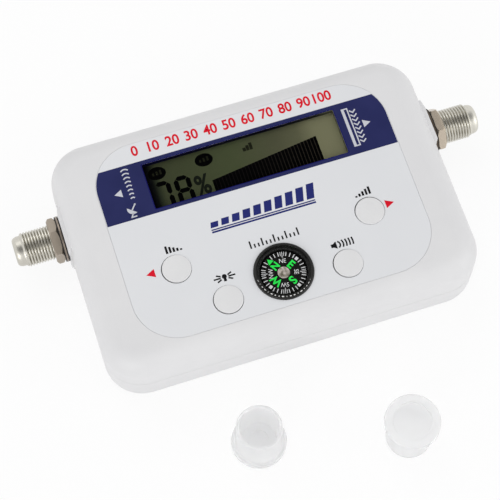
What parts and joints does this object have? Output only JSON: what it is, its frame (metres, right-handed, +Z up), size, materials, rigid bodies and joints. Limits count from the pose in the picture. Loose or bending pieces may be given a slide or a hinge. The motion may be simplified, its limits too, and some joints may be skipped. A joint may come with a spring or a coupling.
{
  "type": "satellite signal meter",
  "caption": "Hand-held satellite signal meter in a white two-shell case, with a display, push buttons, a compass, threaded coaxial ports and loose dust caps.",
  "frame": {"origin": "centre of the case's base, on the surface it rests on", "axes": "+X towards the right-hand port, +Y towards the display side, +Z up out of the face"},
  "size_m": [0.1332, 0.1082, 0.0226],
  "materials": {
    "case_plastic": "fine-grained moulded satin",
    "label_print": "printed overlay film, satin",
    "button_plastic": "smooth satin",
    "clear_plastic": "clear polished acrylic",
    "display_glass": "olive liquid crystal cell",
    "white_plastic": "moulded matt",
    "black_plastic": "moulded satin",
    "compass_black": "polished black",
    "contact_rubber": "layered conductive rubber",
    "board_laminate": "solder-mask green",
    "tinned_steel": "bright tinned",
    "nickel_plate": "turned and nickel plated",
    "brass": "turned",
    "zinc_steel": "zinc plated",
    "magnet_grey": "pressed ferrite",
    "aluminium_can": "drawn satin",
    "cap_polythene": "translucent natural polythene"
  },
  "bodies": {
    "case": {"upper_shell": "case_plastic", "lower_shell": "case_plastic", "face_label": "label_print", "display_window": "clear_plastic", "lcd_glass": "display_glass", "lcd_frame": "white_plastic", "backlight_diffuser": "white_plastic", "lcd_contact_strip": "contact_rubber", "circuit_board": "board_laminate", "rf_shield_can": "tinned_steel", "controller_chip": "black_plastic", "filter_capacitor": "aluminium_can", "buzzer_sounder": "black_plastic", "compass_cup": "compass_black", "compass_dome": "clear_plastic", "compass_pivot": "brass", "attenuator_left_switch": "black_plastic", "attenuator_right_switch": "black_plastic", "light_switch": "black_plastic", "buzzer_switch": "black_plastic", "left_barrel": "nickel_plate", "left_nut": "nickel_plate", "left_washer": "nickel_plate", "left_insulator": "white_plastic", "left_contact": "brass", "right_barrel": "nickel_plate", "right_nut": "nickel_plate", "right_washer": "nickel_plate", "right_insulator": "white_plastic", "right_contact": "brass", "case_screw_1": "zinc_steel", "board_screw_1": "zinc_steel", "case_screw_2": "zinc_steel", "board_screw_2": "zinc_steel", "case_screw_3": "zinc_steel", "board_screw_3": "zinc_steel", "case_screw_4": "zinc_steel", "board_screw_4": "zinc_steel"},
    "attenuator_left_key": {"attenuator_left_button": "button_plastic", "attenuator_left_plunger": "black_plastic"},
    "attenuator_right_key": {"attenuator_right_button": "button_plastic", "attenuator_right_plunger": "black_plastic"},
    "light_key": {"light_button": "button_plastic", "light_plunger": "black_plastic"},
    "buzzer_key": {"buzzer_button": "button_plastic", "buzzer_plunger": "black_plastic"},
    "compass_rose": {"compass_card": "compass_black", "compass_magnet": "magnet_grey"},
    "left_cap": {"left_dust_cap": "cap_polythene"},
    "right_cap": {"right_dust_cap": "cap_polythene"}
  },
  "joints": [
    {"name": "attenuator_left_press", "type": "slide", "parent": "case", "child": "attenuator_left_key", "axis": [0, 0, -1], "range_m": [0, 0.0004], "stiffness_N_per_m": 500},
    {"name": "attenuator_right_press", "type": "slide", "parent": "case", "child": "attenuator_right_key", "axis": [0, 0, -1], "range_m": [0, 0.0004], "stiffness_N_per_m": 500},
    {"name": "light_press", "type": "slide", "parent": "case", "child": "light_key", "axis": [0, 0, -1], "range_m": [0, 0.0004], "stiffness_N_per_m": 500},
    {"name": "buzzer_press", "type": "slide", "parent": "case", "child": "buzzer_key", "axis": [0, 0, -1], "range_m": [0, 0.0004], "stiffness_N_per_m": 500},
    {"name": "compass_turn", "type": "hinge", "parent": "case", "child": "compass_rose", "pos_m": [-0.0004, -0.0192, 0.0197], "axis": [0, 0, 1], "continuous": true},
    {"name": "left_cap_lift", "type": "slide", "parent": "case", "child": "left_cap", "axis": [0, 0, 1], "range_m": [0, 0.03]},
    {"name": "right_cap_lift", "type": "slide", "parent": "case", "child": "right_cap", "axis": [0, 0, 1], "range_m": [0, 0.03]}
  ]
}
